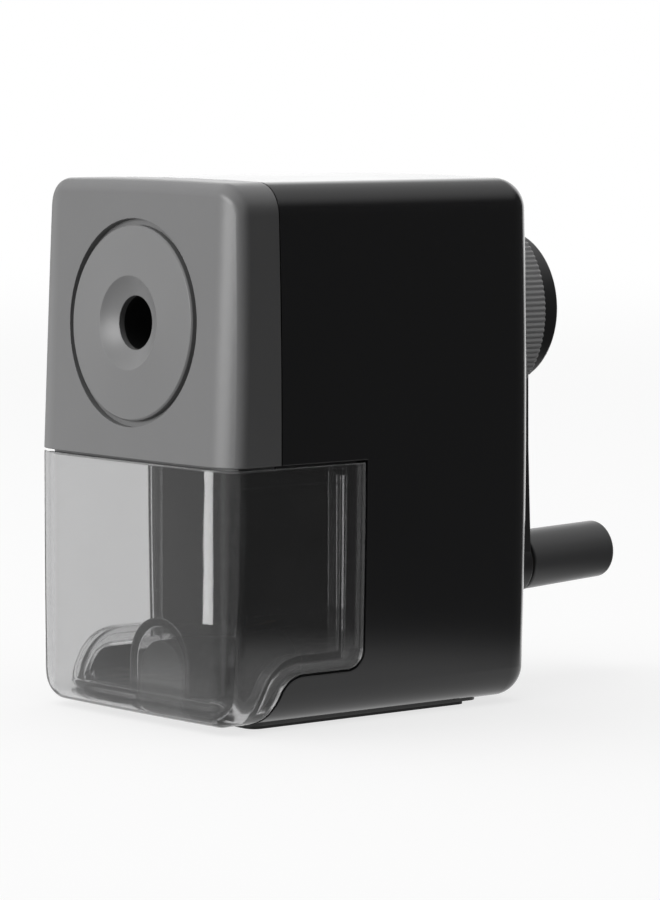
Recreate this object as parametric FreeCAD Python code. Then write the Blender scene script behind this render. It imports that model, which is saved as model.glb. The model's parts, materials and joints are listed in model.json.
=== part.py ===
"""Crank pencil sharpener: one solid per real piece, in millimetres.

Frame: origin on the table under the middle of the body, +Z up, -Y towards the pencil
hole, +X to the right of somebody facing the pencil hole. The crank is at +Y and hangs down.
"""
import FreeCAD
import Part
import math
import os

V = FreeCAD.Vector
X_AXIS = V(1, 0, 0)
Y_AXIS = V(0, 1, 0)
Z_AXIS = V(0, 0, 1)
FAR = 90.0                    # longer than any distance across the body
OVERRUN = 9.0                 # how far trimming shapes run past the faces they trim

# ---- body form ----
LIFT = 1.2                    # body underside above the table
BODY_H = 115.0
BODY_TOP = LIFT + BODY_H
HALF_W = 34.8                 # at mid height, where the sides bulge most
SIDE_BULGE = 1.3              # how much narrower each side is at the top and bottom
TOP_CROWN = 0.5
EDGE_R = 7.0                  # long edges, top and bottom
FRONT_Y = -43.8
REAR_Y = 43.6
REAR_EDGE_R = 6.6
BOW_R = 780.0                 # gentle bow of the front in plan
CORNER_START_X = 27.3
CORNER_R = 11.2               # front corners, cut short by the sides in a crisp edge
LEAN = 2.5                    # how far the top of the bezel leans back
WALL = 2.2
SEAM = 0.3                    # half of the gap that shows between two shells
SEAM_Z = LIFT + 55.1          # drawer below, bezel and housing above
BEZEL_SEAM_Y = -29.3
BEZEL_TOP_R = 3.0             # where the bezel's front meets its top
BEZEL_LIP_T = 1.4
BEZEL_LIP_Y = (BEZEL_SEAM_Y - 3.0, BEZEL_SEAM_Y + 3.5)

# ---- drawer ----
PANEL_REAR_Y = -6.3           # rear edge of the drawer's flush side panels
PANEL_LOW_Z = 11.9            # their level lower edge
PANEL_CORNER_R = 4.0
S_START_Y = -22.6             # where the lower edge starts to sweep down
S_UPPER_R = 7.1
S_LOWER_R = 4.4
S_ANGLE = 63.0
RIM = 2.4                     # width of the thin rim along the panels' lower edges
STEP = 1.4                    # thickness of the wall that joins the rim to the tray
REAR_RIM = 4.4                # the same rim along the rear edge
FLANGE_T = 1.2                # edge of the housing that stands behind the rear rim
FLANGE_GAP = 0.2
TRAY_HALF_W = 30.2
TRAY_REAR_Y = 37.5
TRAY_Z = 3.6
TRAY_FLOOR_T = 1.4
TRAY_WALL = 2.0
TROUGH_Z = LIFT + 1.5         # the floor is lower just behind the front
TROUGH_REAR_Y = -36.9
TRAY_TOP = 54.3               # everything inside the drawer's outer wall stops here
LIP_LOW = 55.4                # shells hang a lip to here, behind the drawer's rim
LIP_GAP = 0.15
LIP_T = 1.3
LIP_REAR_Y = PANEL_REAR_Y + 4.0
LEDGE_Z = (SEAM_Z + 1.0, SEAM_Z + 2.5)
TUNNEL_R = 10.1
TUNNEL_TOP = LIFT + 20.3
TUNNEL_FRONT_Y = -34.2
TUNNEL_WALL = 1.8
DRAWER_FOOT_R = 4.0           # lower front edge

# ---- base ----
FOOT_T = 0.7
PLATE_T = 0.9
PLATE_HALF_X = 28.0
PLATE_Y = (-32.0, 32.8)
FOOT_Y = (-31.4, 29.4)
FLOOR_Z = 3.4                 # top of the housing floor
PLATE_FIT = 0.2
PLATE_CORNER_R = 3.0
SOCKET_R = 7.3
SOCKET_TOP = LIFT + 15.3
SOCKET_Y = (-32.7, -4.0)
CLAMP_R = 4.1
CLAMP_Y = -18.0
CLAMP_TOP = 12.0
BASE_SCREW_Y = (-28.0, -8.5)
BASE_SCREW_R = 1.5
BASE_SCREW_TOP = 10.0
SCREW_HEAD_R = 2.8
SLOT_HALF_W = 0.4

# ---- pencil axis ----
AXIS_Z = LIFT + 84.3
PENCIL_BORE_R = 4.3
ENTRY_R = 5.8
CONE_ANGLE = 10.5             # half angle of the sharpened point
TIP_Y = 20.0

# ---- front disc ----
DISC_R = 20.95
GROOVE_R = 22.3
DISC_OPENING_R = 17.0
GROOVE_DEPTH = 1.6
DISC_FACE_Y = -0.9            # middle of the disc's face, ahead of the bezel's
DISC_BACK_Y = 4.6
DISH_EDGE_R = 10.1
DISH_R = 18.0                 # ball that the dish round the hole is part of
DISC_SCREW_AT = 19.2
DISC_SCREW_ANGLES = (90, 210, 330)
DISC_SCREW_R = 0.9
SLEEVE_SEAT = 2.6             # how far behind the disc's face the sleeve starts
SLEEVE_OUTER_R = 8.2
SLEEVE_END = 11.0

# ---- gears and cutter ----
RING_TEETH = 42
PINION_TEETH = 15
RING_PITCH_R = 16.0
PRESSURE = math.radians(20.0)
BACKLASH = 0.16               # taken off each flank of the pinion
RING_Y = (-8.4, -3.4)
PINION_Y = (-8.0, -3.8)
CUTTER_Y = (-3.2, 20.6)
CUTTER_R = 5.5
CUTTER_BLADES = 10
CUTTER_TWIST = 70.0
AXLE_R = 1.6
AXLE_Y = (-13.5, 27.0)
RUNNING = 0.05                # radial clearance of a running fit

# ---- cutter frame ----
FRAME_R = 24.0
RING_R = 21.0
FRAME_Y = (-18.5, -2.5)
FRAME_PLATE_T = 3.5
FRAME_NOSE_Y = -29.0
FRAME_NOSE_R = 12.0
BUSH_R = 9.5
BUSH_Y = (-21.5, -15.0)
LEG_ANGLES = (40.0, 140.0, 220.0, 320.0)
LEG_W = 7.0
PAD_Y = (33.7, 36.7)
PAD_AT = 28.0
PAD_R = 3.5
FRAME_SCREW_R = 1.5
FRAME_SCREW_END = 41.0
FRAME_SCREW_HEAD_T = 2.0

# ---- carrier and shaft ----
JOURNAL_R = 7.5
CHEEK_R = 14.6
CHEEK_Y = (-13.5, -9.6)
CARRIER_R = 11.0
REAR_CHEEK_Y = (22.5, 27.0)
HUB_R = 7.0
HUB_Y = 34.4
SHAFT_R = 4.0
SHAFT_Y = (27.6, 64.2)
ROD_R = 1.2
ROD_Y = (20.6, 53.0)
FLAT_AT = 3.0                 # distance from the shaft axis to its driving flat
FLAT_Y = 56.0
REAR_WALL = 2.4
REAR_BUSH_R = 6.0
REAR_BUSH_Y = (37.0, 45.6)
REAR_BOSS_R = 10.0
BUSH_FLANGE_R = 8.5
BUSH_FLANGE_T = 1.2

# ---- point adjuster ----
RING_KNURL_R = 22.75
RING_KNURL_RIBS = 116
KNURL_DEPTH = 0.35
ADJ_Y = (46.0, 57.1)
ADJ_RIM_T = 2.8
ADJ_WEB_T = 2.5
SLEEVE_R = 10.9
GUIDE_TUBE_R = 13.0
GUIDE_TUBE_Y = 54.2
COLLAR_R = 8.6
COLLAR_Y = (48.5, 52.7)
GROOVE_W = 1.8
CROSS_PIN_R = 0.8
CROSS_PIN_Y = 50.6
CROSS_PIN_HALF = 4.9
STOP_TRAVEL = 2.0
GUIDE_PIN_AT = 7.1
GUIDE_PIN_R = 0.75
GUIDE_PIN_Y = (41.2, 54.0)
CLIP_R = 15.2
CLIP_Y = (51.4, 52.6)
CLICK_TOP = 50.0

# ---- crank ----
CAP_R = 17.4
CAP_Y = (58.2, 65.6)
CAP_EDGE_R = 0.8
ARM_TILT = 2.5                # the arm slopes outwards as it goes down
ARM_T = 5.2
ARM_PIVOT_Y = 62.5
CRANK_R = 59.2
ARM_HALF_W = (8.0, 7.2, 7.0)  # at the cap, part way down and at the grip
ARM_BOSS_R = 7.6
INSERT_R = 6.5
HUB_RECESS = 1.4
HUB_SCREW_R = 1.4
PLUG_R = 7.6
PIN_R = 3.0
GRIP_ROOT_R = 6.85
GRIP_END_R = 6.57
GRIP_GAP = 1.1
GRIP_LEN = 26.6


# ---------------------------------------------------------------- helpers
def cyl_y(radius, y0, y1, x=0.0, z=AXIS_Z):
    return Part.makeCylinder(radius, y1 - y0, V(x, y0, z), Y_AXIS)


def cyl_z(radius, z0, z1, x=0.0, y=0.0):
    return Part.makeCylinder(radius, z1 - z0, V(x, y, z0), Z_AXIS)


def tube_y(r_out, r_in, y0, y1, x=0.0, z=AXIS_Z):
    return cyl_y(r_out, y0, y1, x, z).cut(cyl_y(r_in, y0 - 1.0, y1 + 1.0, x, z))


def box(x0, x1, y0, y1, z0, z1):
    return Part.makeBox(x1 - x0, y1 - y0, z1 - z0, V(x0, y0, z0))


def revolved(points):
    """Closed (radius, y) outline turned about the pencil axis."""
    corners = [V(r, y, AXIS_Z) for r, y in points]
    face = Part.Face(Part.makePolygon(corners + corners[:1]))
    return face.revolve(V(0, 0, AXIS_Z), Y_AXIS, 360)


def arc(a, mid, b):
    return Part.Arc(a, mid, b).toShape()


def line(a, b):
    return Part.makeLine(a, b)


def polar(radius, degrees, y=0.0):
    """Point at an angle about the pencil axis, measured from +X towards +Z."""
    t = math.radians(degrees)
    return V(radius * math.cos(t), y, AXIS_Z + radius * math.sin(t))


def fuse_all(shapes):
    result = shapes[0]
    for shape in shapes[1:]:
        result = result.fuse(shape)
    return result.removeSplitter()


def fillet_where(shape, radius, wanted):
    edges = [e for e in shape.Edges if wanted(e)]
    return shape.makeFillet(radius, edges)


def along_y(edge):
    a, b = edge.Vertexes[0].Point, edge.Vertexes[-1].Point
    return abs(a.x - b.x) < 1e-4 and abs(a.z - b.z) < 1e-4 and abs(a.y - b.y) > 1.0


def leaned(shape):
    """Turn a piece built square to the pencil axis to match the bezel's lean."""
    angle = math.degrees(math.atan2(LEAN, BODY_TOP - SEAM_Z))
    moved = shape.copy()
    moved.rotate(V(0, bezel_face_y(AXIS_Z), AXIS_Z), X_AXIS, -angle)
    return moved


def bezel_face_y(z):
    return FRONT_Y + LEAN * (z - SEAM_Z) / (BODY_TOP - SEAM_Z)


# ---------------------------------------------------------------- body form
def profile_prism(inset, y0, y1):
    """The body seen from the front, with bulging sides, drawn out along Y."""
    end_w = HALF_W - SIDE_BULGE - inset
    mid_w = HALF_W - inset
    z0 = LIFT + inset
    z1 = BODY_TOP - inset
    zm = (z0 + z1) / 2.0
    low_l, low_r = V(-end_w, y0, z0), V(end_w, y0, z0)
    top_l, top_r = V(-end_w, y0, z1 - TOP_CROWN), V(end_w, y0, z1 - TOP_CROWN)
    wire = Part.Wire([
        line(low_l, low_r),
        arc(low_r, V(mid_w, y0, zm), top_r),
        arc(top_r, V(0, y0, z1), top_l),
        arc(top_l, V(-mid_w, y0, zm), low_l),
    ])
    solid = Part.Face(wire).extrude(V(0, y1 - y0, 0))
    return fillet_where(solid, EDGE_R - inset, along_y)


def plan_prism(inset, z0, z1, shift=V(0, 0, 0)):
    """The body seen from above: bowed front and rounded corners, drawn up along Z."""
    bow_y = FRONT_Y + BOW_R
    start = math.asin(CORNER_START_X / BOW_R)
    corner_x = (BOW_R - CORNER_R) * math.sin(start)
    corner_y = bow_y - (BOW_R - CORNER_R) * math.cos(start)
    radius = CORNER_R - inset

    def corner(degrees, side):
        t = math.radians(degrees)
        return V(side * (corner_x + radius * math.sin(t)), corner_y - radius * math.cos(t), z0)

    first = math.degrees(start)
    last = 80.0
    middle = (first + last) / 2.0
    nose = V(0, FRONT_Y + inset, z0)
    wire = Part.Wire([
        arc(corner(first, -1), nose, corner(first, 1)),
        arc(corner(first, 1), corner(middle, 1), corner(last, 1)),
        line(corner(last, 1), V(FAR, corner(last, 1).y, z0)),
        line(V(FAR, corner(last, 1).y, z0), V(FAR, FAR, z0)),
        line(V(FAR, FAR, z0), V(-FAR, FAR, z0)),
        line(V(-FAR, FAR, z0), V(-FAR, corner(last, 1).y, z0)),
        line(V(-FAR, corner(last, 1).y, z0), corner(last, -1)),
        arc(corner(last, -1), corner(middle, -1), corner(first, -1)),
    ])
    return Part.Face(wire).extrude(V(0, 0, z1 - z0) + shift)


def drawer_outline(grow):
    """Side view of the space the drawer's flush part fills, grown by a clearance."""
    t = math.radians(S_ANGLE)
    top = SEAM_Z - SEAM + grow
    low = PANEL_LOW_Z - grow
    rear = PANEL_REAR_Y + grow
    corner_y = PANEL_REAR_Y - PANEL_CORNER_R
    corner_z = PANEL_LOW_Z + PANEL_CORNER_R
    corner_r = PANEL_CORNER_R + grow
    upper = V(0, S_START_Y, PANEL_LOW_Z - S_UPPER_R)
    upper_r = S_UPPER_R - grow
    lower_r = S_LOWER_R + grow
    lower_z = LIFT + S_LOWER_R
    step_z = upper.z + S_UPPER_R * math.cos(t) - (lower_z - S_LOWER_R * math.cos(t))
    lower_y = upper.y - (S_UPPER_R + S_LOWER_R) * math.sin(t) - step_z / math.tan(t)
    lower = V(0, lower_y, lower_z)

    def on(centre, radius, degrees):
        a = math.radians(degrees)
        return centre + V(0, -radius * math.sin(a), radius * math.cos(a))

    corner = V(0, corner_y, corner_z)
    a = on(upper, upper_r, 0.0)
    b = on(upper, upper_r, S_ANGLE)
    c = on(lower, lower_r, 180.0 + S_ANGLE)
    d = on(lower, lower_r, 180.0)
    edges = [
        line(V(0, -FAR, top), V(0, rear, top)),
        line(V(0, rear, top), V(0, rear, corner_z)),
        arc(V(0, rear, corner_z), on(corner, corner_r, 225.0), V(0, corner_y, low)),
        line(V(0, corner_y, low), a),
        arc(a, on(upper, upper_r, S_ANGLE / 2.0), b),
        line(b, c),
        arc(c, on(lower, lower_r, 180.0 + S_ANGLE / 2.0), d),
        line(d, V(0, d.y, -FAR)),
        line(V(0, d.y, -FAR), V(0, -FAR, -FAR)),
        line(V(0, -FAR, -FAR), V(0, -FAR, top)),
    ]
    face = Part.Face(Part.Wire(edges))
    face.translate(V(-FAR, 0, 0))
    return face.extrude(V(2 * FAR, 0, 0))


# ---------------------------------------------------------------- shells
def seam_lip(y0, y1, lean):
    """Strip that hangs inside the drawer's rim, so that nothing shows through the seam."""
    near, far = WALL + LIP_GAP, WALL + LIP_GAP + LIP_T
    outer = profile_prism(near, FRONT_Y - OVERRUN, FAR).common(plan_prism(near, -FAR, FAR * 2, lean))
    inner = profile_prism(far, FRONT_Y - OVERRUN, FAR).common(plan_prism(far, -FAR, FAR * 2, lean))
    strip = outer.cut(inner)
    return strip.common(box(-FAR, FAR, y0, y1, LIP_LOW, LEDGE_Z[1]))


def drawer_flange():
    """Edge of the housing that reaches in behind the rear edge of the drawer's panels."""
    inner = profile_prism(WALL + FLANGE_GAP + FLANGE_T, FRONT_Y - OVERRUN, 0.0)
    root = profile_prism(WALL - 0.5, FRONT_Y - OVERRUN, 0.0).cut(inner)
    root = root.common(slab_y(PANEL_REAR_Y + 2 * SEAM, PANEL_REAR_Y + 4.0))
    tongue = profile_prism(WALL + FLANGE_GAP, FRONT_Y - OVERRUN, 0.0).cut(inner)
    tongue = tongue.common(slab_y(PANEL_REAR_Y - REAR_RIM + FLANGE_GAP, PANEL_REAR_Y + 1.0))
    low = PANEL_LOW_Z + PANEL_CORNER_R
    return root.fuse(tongue).common(box(-FAR, FAR, -FAR, FAR, low, LIP_LOW + 0.5))


def slab_y(y0, y1):
    return box(-FAR, FAR, y0, y1, -FAR, FAR * 2)


def housing():
    outer = profile_prism(0.0, FRONT_Y - OVERRUN, REAR_Y)
    outer = fillet_where(outer, REAR_EDGE_R, lambda e: e.BoundBox.YMin > REAR_Y - 0.01)
    outer = outer.common(plan_prism(0.0, -FAR, FAR * 2))
    inner = profile_prism(WALL, FRONT_Y - OVERRUN, REAR_Y - REAR_WALL)
    inner_rear = REAR_Y - REAR_WALL
    inner = fillet_where(inner, REAR_EDGE_R - WALL, lambda e: e.BoundBox.YMin > inner_rear - 0.01)
    inner = inner.cut(box(-FAR, FAR, -FAR, FAR, -FAR, FLOOR_Z))
    shell = outer.cut(inner)
    shell = shell.cut(drawer_outline(2 * SEAM))
    shell = shell.cut(box(-FAR, FAR, -FAR, BEZEL_SEAM_Y + SEAM / 2, SEAM_Z - SEAM, FAR * 2))
    recess_x = PLATE_HALF_X + PLATE_FIT
    shell = shell.cut(box(-recess_x, recess_x, PLATE_Y[0] - PLATE_FIT, PLATE_Y[1] + PLATE_FIT, 0,
                          FOOT_T + PLATE_T))
    adds = [shell]
    for degrees in LEG_ANGLES:
        p = polar(PAD_AT, degrees)
        adds.append(cyl_y(PAD_R, PAD_Y[1], REAR_Y - 1.0, p.x, p.z))
    adds.append(cyl_y(REAR_BOSS_R, REAR_BUSH_Y[0] + BUSH_FLANGE_T, REAR_Y - 1.0))
    adds.append(seam_lip(BEZEL_SEAM_Y + SEAM / 2, LIP_REAR_Y, V(0, 0, 0)))
    adds.append(drawer_flange())
    ledge = profile_prism(WALL - 0.5, BEZEL_SEAM_Y + SEAM / 2, LIP_REAR_Y)
    ledge = ledge.cut(profile_prism(WALL + LIP_GAP + LIP_T, FRONT_Y, FAR))
    adds.append(ledge.common(box(-FAR, FAR, -FAR, FAR, LEDGE_Z[0], LEDGE_Z[1])))
    adds.append(tube_y(GUIDE_TUBE_R, SLEEVE_R + 2 * RUNNING, REAR_Y - 1.0, GUIDE_TUBE_Y))
    shell = fuse_all(adds)
    for degrees in LEG_ANGLES:
        p = polar(PAD_AT, degrees)
        shell = shell.cut(cyl_y(FRAME_SCREW_R, PAD_Y[0], FRAME_SCREW_END + 0.2, p.x, p.z))
    shell = shell.cut(cyl_y(REAR_BUSH_R, PAD_Y[0], REAR_Y + 2.0))
    for side in (-1, 1):
        shell = shell.cut(cyl_y(GUIDE_PIN_R, GUIDE_PIN_Y[0] - 0.2, REAR_Y + 1.0, side * GUIDE_PIN_AT))
    shell = shell.cut(cyl_z(CLAMP_R + 3 * PLATE_FIT, 0, FLOOR_Z + 1, 0, CLAMP_Y))
    for y in BASE_SCREW_Y:
        shell = shell.cut(cyl_z(BASE_SCREW_R + PLATE_FIT, 0, FLOOR_Z + 1, 0, y))
    return shell


def front_bezel():
    lean = V(0, LEAN, 0)
    low = SEAM_Z + SEAM
    outer = profile_prism(0.0, FRONT_Y - OVERRUN, BEZEL_SEAM_Y - SEAM / 2)
    outer = outer.common(plan_prism(0.0, SEAM_Z, BODY_TOP, lean))
    outer = fillet_where(outer, BEZEL_TOP_R, is_top_front_edge)
    outer = outer.cut(box(-FAR, FAR, -FAR, FAR, 0, low))
    inner = profile_prism(WALL, FRONT_Y - OVERRUN, FAR).common(plan_prism(WALL, SEAM_Z, BODY_TOP, lean))
    face_y = bezel_face_y(AXIS_Z)
    boss = leaned(cyl_y(GROOVE_R + WALL, face_y + 1.0, face_y + GROOVE_DEPTH + 2.6))
    boss = boss.cut(box(-FAR, FAR, -FAR, face_y + GROOVE_DEPTH, 0, FAR * 2))
    curtain = seam_lip(-FAR, BEZEL_SEAM_Y - SEAM / 2, V(0, 0, 0))
    hanger = outer.common(box(-FAR, FAR, -FAR, FAR, LEDGE_Z[0], LEDGE_Z[1]))
    behind = WALL + LIP_GAP + LIP_T
    hollow = profile_prism(behind, FRONT_Y - OVERRUN, FAR).common(plan_prism(behind, SEAM_Z, BODY_TOP))
    hanger = hanger.cut(hollow)
    shell = fuse_all([outer.cut(inner), bezel_lip(), boss, curtain, hanger])
    shell = shell.cut(leaned(cyl_y(GROOVE_R, face_y - OVERRUN, face_y + GROOVE_DEPTH)))
    shell = shell.cut(leaned(cyl_y(DISC_OPENING_R, face_y - OVERRUN, face_y + OVERRUN)))
    for degrees in DISC_SCREW_ANGLES:
        p = polar(DISC_SCREW_AT, degrees)
        shell = shell.cut(leaned(cyl_y(DISC_SCREW_R, face_y, face_y + OVERRUN, p.x, p.z)))
    return shell


def bezel_lip():
    """Locating lip that the bezel pushes inside the housing, with the bridge that carries it."""
    y0, y1 = BEZEL_LIP_Y
    hole = profile_prism(WALL + LIP_GAP + BEZEL_LIP_T, y0 - 1.0, y1 + 1.0)
    lip = profile_prism(WALL + LIP_GAP, y0, y1).cut(hole)
    bridge = profile_prism(WALL - 0.6, y0, y0 + 2.0).cut(hole)
    return lip.fuse(bridge).cut(box(-FAR, FAR, -FAR, FAR, 0, LEDGE_Z[1] + 0.4))


def is_top_front_edge(edge):
    """Edges where the bezel's front meets its top face, away from the sides."""
    b = edge.BoundBox
    near_front = b.YMax < FRONT_Y + LEAN + 4.2
    return b.ZMin > BODY_TOP - EDGE_R - 1.0 and near_front and b.XLength > 2.0


def guide_disc():
    y = bezel_face_y(AXIS_Z)
    front = y + DISC_FACE_Y
    back = y + DISC_BACK_Y
    seat = y + GROOVE_DEPTH
    shoulder = DISC_OPENING_R - 0.2
    outline = [
        (DISC_R, seat), (DISC_R, y + 0.35), (DISC_R - 0.35, y), (DISH_EDGE_R, front),
        (5.0, front), (5.0, y + SLEEVE_SEAT), (SLEEVE_OUTER_R, y + SLEEVE_SEAT), (SLEEVE_OUTER_R, back),
        (shoulder, back), (shoulder, seat),
    ]
    disc = revolved(outline)
    reach = math.sqrt(DISH_R ** 2 - DISH_EDGE_R ** 2)
    disc = disc.cut(Part.makeSphere(DISH_R, V(0, front - reach, AXIS_Z)))
    disc = leaned(disc)
    disc = disc.cut(cyl_y(ENTRY_R, front, y + SLEEVE_SEAT + 2.0))
    for degrees in DISC_SCREW_ANGLES:
        p = polar(DISC_SCREW_AT, degrees)
        disc = disc.cut(leaned(cyl_y(DISC_SCREW_R, y + 0.9, y + 3.0, p.x, p.z)))
    return disc


def entry_sleeve():
    """Tube pressed into the back of the disc, which leads the pencil to the guide."""
    y = bezel_face_y(AXIS_Z)
    sleeve = leaned(tube_y(SLEEVE_OUTER_R, 5.0, y + SLEEVE_SEAT, y + SLEEVE_END))
    return sleeve.cut(cyl_y(ENTRY_R, y, y + SLEEVE_END + 2.0))


def disc_screws():
    y = bezel_face_y(AXIS_Z)
    head_y = y + GROOVE_DEPTH + 2.65
    screws = []
    for degrees in DISC_SCREW_ANGLES:
        p = polar(DISC_SCREW_AT, degrees)
        shank = cyl_y(DISC_SCREW_R, y + 1.1, head_y + 0.2, p.x, p.z)
        head = cyl_y(2 * DISC_SCREW_R, head_y, head_y + 1.35, p.x, p.z)
        slot = box(p.x - 0.25, p.x + 0.25, head_y + 0.85, head_y + 2.0, p.z - 2, p.z + 2)
        screws.append(leaned(shank.fuse(head).cut(slot).removeSplitter()))
    return Part.makeCompound(screws)


def shavings_drawer():
    """Clear shell with a thin rim, a tray behind it and a tunnel over the clamp socket."""
    top = SEAM_Z - SEAM
    floor_top = TRAY_Z + TRAY_FLOOR_T
    w = TRAY_HALF_W - TRAY_WALL
    within = profile_prism(WALL, FRONT_Y - OVERRUN, 0.0).common(plan_prism(WALL, -FAR, FAR * 2))
    flush = profile_prism(0.0, FRONT_Y - OVERRUN, 0.0).common(plan_prism(0.0, -FAR, FAR * 2))
    flush = flush.common(drawer_outline(0.0))
    flush = fillet_where(flush, DRAWER_FOOT_R, is_drawer_foot_edge)
    middle = box(-TRAY_HALF_W + 0.5, TRAY_HALF_W - 0.5, -FAR, FAR, 0, FAR)
    rebate = within.cut(drawer_outline(-RIM)).fuse(within.common(slab_y(PANEL_REAR_Y - REAR_RIM, FAR)))
    flush = flush.cut(rebate.cut(middle))
    tray = box(-TRAY_HALF_W, TRAY_HALF_W, FRONT_Y + 3.0, TRAY_REAR_Y, TRAY_Z, TRAY_TOP)
    tray = fillet_where(tray, 5.0, lambda e: along_y(e) and e.BoundBox.ZMax < TRAY_Z + 1)
    body = flush.fuse(tray)
    wide = within.common(drawer_outline(-RIM - STEP))
    wide = wide.fuse(lift_copy(wide, RIM + STEP + 2.0))
    wide = wide.cut(slab_y(PANEL_REAR_Y - REAR_RIM - STEP, FAR))
    deep = box(-w, w, FRONT_Y + 2.0, TRAY_REAR_Y - TRAY_WALL, floor_top, top + 5)
    deep = fillet_where(deep, 3.6, lambda e: along_y(e) and e.BoundBox.ZMax < floor_top + 1)
    trough = box(-w, w, FRONT_Y + 2.0, TROUGH_REAR_Y, TROUGH_Z, floor_top + 5.0)
    front = plan_prism(WALL, -FAR, FAR * 2)
    body = body.cut(wide).cut(deep.fuse(trough).common(front))
    above = profile_prism(WALL, FRONT_Y - OVERRUN, FAR).common(front)
    body = body.cut(above.cut(box(-FAR, FAR, -FAR, FAR, -FAR, TRAY_TOP)))
    tunnel_z = TUNNEL_TOP - TUNNEL_R
    arch = arch_prism(TUNNEL_R, tunnel_z, TRAY_Z, TUNNEL_FRONT_Y, TRAY_REAR_Y)
    hollow = arch_prism(TUNNEL_R - TUNNEL_WALL, tunnel_z, 0.0, TUNNEL_FRONT_Y + 1.2, TRAY_REAR_Y + 5)
    return fuse_all([body, arch]).cut(hollow)


def lift_copy(shape, dz):
    copy = shape.copy()
    copy.translate(V(0, 0, dz))
    return copy


def is_drawer_foot_edge(edge):
    """The lower front edge of the drawer, between its corner arcs."""
    b = edge.BoundBox
    return b.ZMax < LIFT + 0.3 and b.YMax < FRONT_Y + 1.5 and b.XLength > 10


def arch_prism(radius, centre_z, floor_z, y0, y1):
    """Round-topped bar with straight legs down to floor_z."""
    head = Part.makeCylinder(radius, y1 - y0, V(0, y0, centre_z), Y_AXIS)
    legs = box(-radius, radius, y0, y1, floor_z, centre_z)
    keep = box(-FAR, FAR, y0, y1, floor_z, FAR)
    return head.fuse(legs).removeSplitter().common(keep)


# ---------------------------------------------------------------- base
def base_plate():
    plate = box(-PLATE_HALF_X, PLATE_HALF_X, PLATE_Y[0], PLATE_Y[1], FOOT_T, FOOT_T + PLATE_T)
    plate = fillet_where(plate, PLATE_CORNER_R, along_z)
    plate = plate.cut(cyl_z(CLAMP_R + 0.5, 0, 3, 0, CLAMP_Y))
    for y in BASE_SCREW_Y:
        plate = plate.cut(cyl_z(BASE_SCREW_R + PLATE_FIT, 0, 3, 0, y))
    return plate


def along_z(edge):
    a, b = edge.Vertexes[0].Point, edge.Vertexes[-1].Point
    return abs(a.x - b.x) < 1e-4 and abs(a.y - b.y) < 1e-4


def rubber_foot():
    x = PLATE_HALF_X - 0.5
    foot = box(-x, x, FOOT_Y[0], FOOT_Y[1], 0.0, FOOT_T)
    foot = fillet_where(foot, PLATE_CORNER_R - 0.5, along_z)
    foot = foot.cut(cyl_z(CLAMP_R + 0.9, -1, 3, 0, CLAMP_Y))
    for y in BASE_SCREW_Y:
        foot = foot.cut(cyl_z(BASE_SCREW_R + 1.7, -1, 3, 0, y))
    return foot


def clamp_socket():
    centre_z = SOCKET_TOP - SOCKET_R
    socket = arch_prism(SOCKET_R, centre_z, FLOOR_Z, SOCKET_Y[0], SOCKET_Y[1])
    socket = socket.cut(cyl_z(CLAMP_R, 0, CLAMP_TOP, 0, CLAMP_Y))
    for y in BASE_SCREW_Y:
        socket = socket.cut(cyl_z(BASE_SCREW_R, 0, BASE_SCREW_TOP + 0.5, 0, y))
    return socket


def base_screws():
    screws = []
    for y in BASE_SCREW_Y:
        head = cyl_z(SCREW_HEAD_R, 0.1, FOOT_T, 0, y)
        slot = box(-3, 3, y - SLOT_HALF_W, y + SLOT_HALF_W, 0.0, 0.4)
        shank = cyl_z(BASE_SCREW_R, FOOT_T, BASE_SCREW_TOP, 0, y)
        screws.append(head.fuse(shank).cut(slot).removeSplitter())
    return Part.makeCompound(screws)


# ---------------------------------------------------------------- cutter frame
def cutter_frame():
    adds = [
        cyl_y(FRAME_R, FRAME_Y[0], FRAME_Y[0] + FRAME_PLATE_T),
        tube_y(FRAME_R, RING_R, FRAME_Y[0], FRAME_Y[1]),
        cyl_y(FRAME_NOSE_R, FRAME_NOSE_Y, FRAME_Y[0] + 1.0),
        tube_y(FRAME_R, CHEEK_R + 0.8, FRAME_Y[0] + 1.0, RING_Y[0]),
    ]
    for degrees in LEG_ANGLES:
        adds.append(frame_leg(degrees))
    frame = fuse_all(adds)
    frame = frame.cut(cyl_y(BUSH_R, FRAME_NOSE_Y - 1.0, FRAME_Y[0] + FRAME_PLATE_T + 1.0))
    for degrees in LEG_ANGLES:
        p = polar(PAD_AT, degrees)
        frame = frame.cut(cyl_y(FRAME_SCREW_R + PLATE_FIT, PAD_Y[0] - 1.0, PAD_Y[1] + 1.0, p.x, p.z))
    return frame


def frame_leg(degrees):
    """Leg from the gear ring to the rear wall, with a screw pad at its rear end."""
    half = LEG_W / 2.0
    leg = box(RING_R + 0.2, FRAME_R - 0.1, FRAME_Y[1] - 2.0, PAD_Y[1], -half, half)
    pad = box(RING_R + 0.2, PAD_AT, PAD_Y[0], PAD_Y[1], -half, half)
    tip = Part.makeCylinder(half, PAD_Y[1] - PAD_Y[0], V(PAD_AT, PAD_Y[0], 0), Y_AXIS)
    whole = leg.fuse(pad).fuse(tip)
    whole.rotate(V(0, 0, 0), Y_AXIS, -degrees)
    whole.translate(V(0, 0, AXIS_Z))
    return whole


def frame_screws():
    screws = []
    for degrees in LEG_ANGLES:
        p = polar(PAD_AT, degrees)
        top = PAD_Y[0] - FRAME_SCREW_HEAD_T
        head = cyl_y(SCREW_HEAD_R, top, PAD_Y[0], p.x, p.z)
        shank = cyl_y(FRAME_SCREW_R, PAD_Y[0], FRAME_SCREW_END, p.x, p.z)
        slot = box(p.x - SLOT_HALF_W, p.x + SLOT_HALF_W, top - 0.5, top + 0.8, p.z - 3, p.z + 3)
        screws.append(head.fuse(shank).cut(slot).removeSplitter())
    return Part.makeCompound(screws)


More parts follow.
